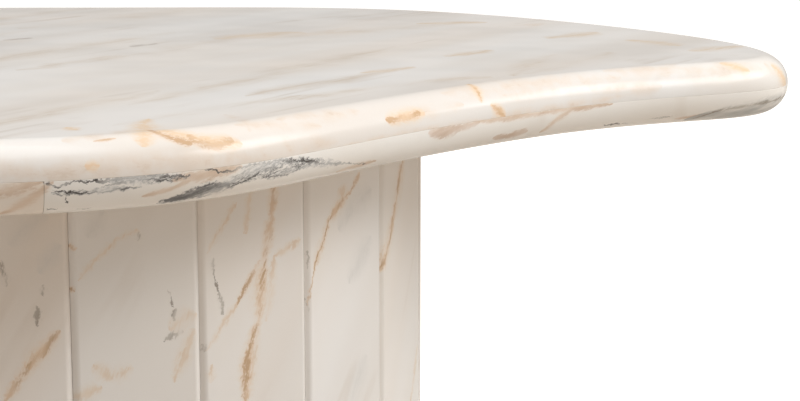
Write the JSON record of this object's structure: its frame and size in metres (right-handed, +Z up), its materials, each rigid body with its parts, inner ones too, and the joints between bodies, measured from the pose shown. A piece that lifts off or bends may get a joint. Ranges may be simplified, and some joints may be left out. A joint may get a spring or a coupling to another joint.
{
  "type": "coffee table",
  "caption": "Coffee table: an organic pebble-shaped marble top with a full round edge on an oval drum of round-edged upright marble staves, with hidden levelling feet.",
  "frame": {"origin": "on the floor, under the middle of the rectangle round the top", "axes": "+Z up, +X along the top's longest extent towards its narrow tip, +Y towards its long straight edge"},
  "size_m": [1.2496, 0.8248, 0.4],
  "materials": {
    "marble_top": "polished",
    "marble_base": "polished",
    "plywood": "sanded, unfinished",
    "timber": "planed, unfinished",
    "steel": "zinc plated",
    "rubber": "soft, translucent grey",
    "nylon": "matt moulded"
  },
  "bodies": {
    "base": {"stave_01": "marble_base", "stave_02": "marble_base", "stave_03": "marble_base", "stave_04": "marble_base", "stave_05": "marble_base", "stave_06": "marble_base", "stave_07": "marble_base", "stave_08": "marble_base", "stave_09": "marble_base", "stave_10": "marble_base", "stave_11": "marble_base", "stave_12": "marble_base", "stave_13": "marble_base", "stave_14": "marble_base", "stave_15": "marble_base", "stave_16": "marble_base", "stave_17": "marble_base", "stave_18": "marble_base", "stave_19": "marble_base", "stave_20": "marble_base", "stave_21": "marble_base", "stave_22": "marble_base", "stave_23": "marble_base", "stave_24": "marble_base", "stave_25": "marble_base", "stave_26": "marble_base", "top_former": "plywood", "middle_former": "plywood", "bottom_former": "plywood", "core_post_1": "timber", "core_post_2": "timber", "core_post_3": "timber", "core_post_4": "timber", "core_post_5": "timber", "core_post_6": "timber", "carcass_screws": "steel", "top_bumpers": "rubber", "locating_pins": "steel", "foot_inserts": "steel"},
    "top": {"top_slab": "marble_top", "edge_strip_1": "marble_top", "edge_strip_2": "marble_top", "edge_strip_3": "marble_top", "edge_strip_4": "marble_top", "edge_strip_5": "marble_top", "edge_strip_6": "marble_top", "edge_strip_7": "marble_top", "edge_strip_8": "marble_top", "backing_board": "plywood"},
    "foot_1": {"foot_stud_1": "steel", "foot_pad_1": "nylon"},
    "foot_2": {"foot_stud_2": "steel", "foot_pad_2": "nylon"},
    "foot_3": {"foot_stud_3": "steel", "foot_pad_3": "nylon"},
    "foot_4": {"foot_stud_4": "steel", "foot_pad_4": "nylon"}
  },
  "joints": [
    {"name": "top_lift", "type": "slide", "parent": "base", "child": "top", "axis": [0, 0, 1], "range_m": [0, 0.06]},
    {"name": "foot_1_level", "type": "slide", "parent": "base", "child": "foot_1", "axis": [0, 0, -1], "range_m": [0, 0.012]},
    {"name": "foot_2_level", "type": "slide", "parent": "base", "child": "foot_2", "axis": [0, 0, -1], "range_m": [0, 0.012]},
    {"name": "foot_3_level", "type": "slide", "parent": "base", "child": "foot_3", "axis": [0, 0, -1], "range_m": [0, 0.012]},
    {"name": "foot_4_level", "type": "slide", "parent": "base", "child": "foot_4", "axis": [0, 0, -1], "range_m": [0, 0.012]}
  ]
}
